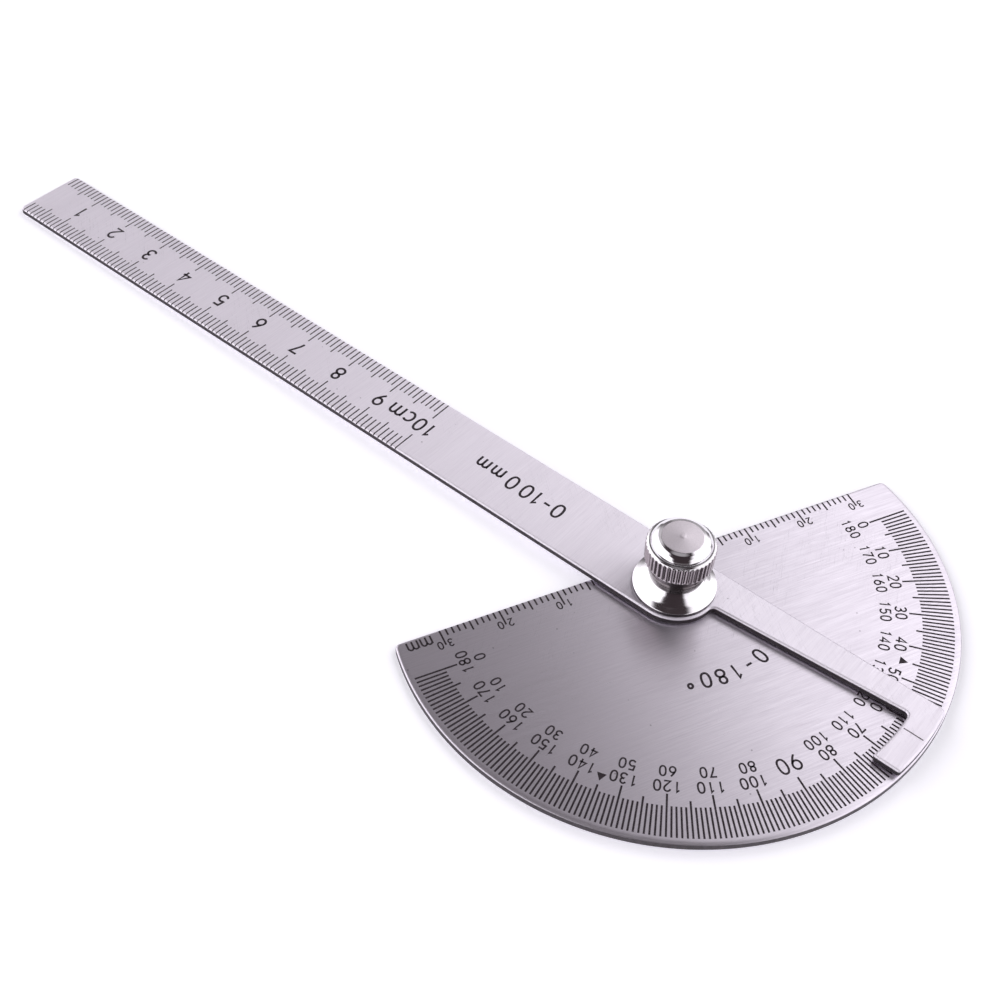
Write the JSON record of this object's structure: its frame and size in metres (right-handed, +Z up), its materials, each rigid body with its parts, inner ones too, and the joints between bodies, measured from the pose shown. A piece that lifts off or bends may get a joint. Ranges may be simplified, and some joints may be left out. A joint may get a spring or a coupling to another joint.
{
  "type": "rotating arm protractor",
  "caption": "Steel protractor with a semicircular degree dial and a millimetre rule arm that turns on a stud and is clamped by a knurled nut.",
  "frame": {"origin": "on the pivot axis, at the underside of the dial plate (the flat foot of the stud, flush with the plate)", "axes": "+X along the straight edge towards the 0 degree end of the outer scale, +Y from the pivot towards the straight edge, +Z up through the arm, washer and nut"},
  "size_m": [0.118, 0.1849, 0.0143],
  "materials": {
    "plate_steel": "fine straight brushing parallel to the straight edge, etched black graduations",
    "arm_steel": "fine brushing across the blade, etched black graduations",
    "shim_steel": "plain rolled shim",
    "stud_steel": "turned, head riveted flush",
    "plated_washer": "bright polished plating",
    "plated_nut": "bright polished plating, straight knurl"
  },
  "bodies": {
    "plate": {"dial_plate": "plate_steel", "pivot_stud": "stud_steel", "friction_shim": "shim_steel"},
    "arm": {"rule_arm": "arm_steel"},
    "washer": {"cup_washer": "plated_washer"},
    "nut": {"clamp_nut": "plated_nut"}
  },
  "joints": [
    {"name": "arm_swing", "type": "hinge", "parent": "plate", "child": "arm", "pos_m": [0, 0, 0.0021], "axis": [0, 0, 1], "continuous": true},
    {"name": "washer_lift", "type": "slide", "parent": "plate", "child": "washer", "axis": [0, 0, 1], "range_m": [0, 0.0021]},
    {"name": "nut_turn", "type": "hinge", "parent": "washer", "child": "nut", "pos_m": [0, 0, 0.0053], "axis": [0, 0, 1], "range_deg": [0, 1080.5]}
  ],
  "couplings": [
    {"joint": "nut_turn", "follows": "washer_lift", "rad_per_m": 8976}
  ]
}
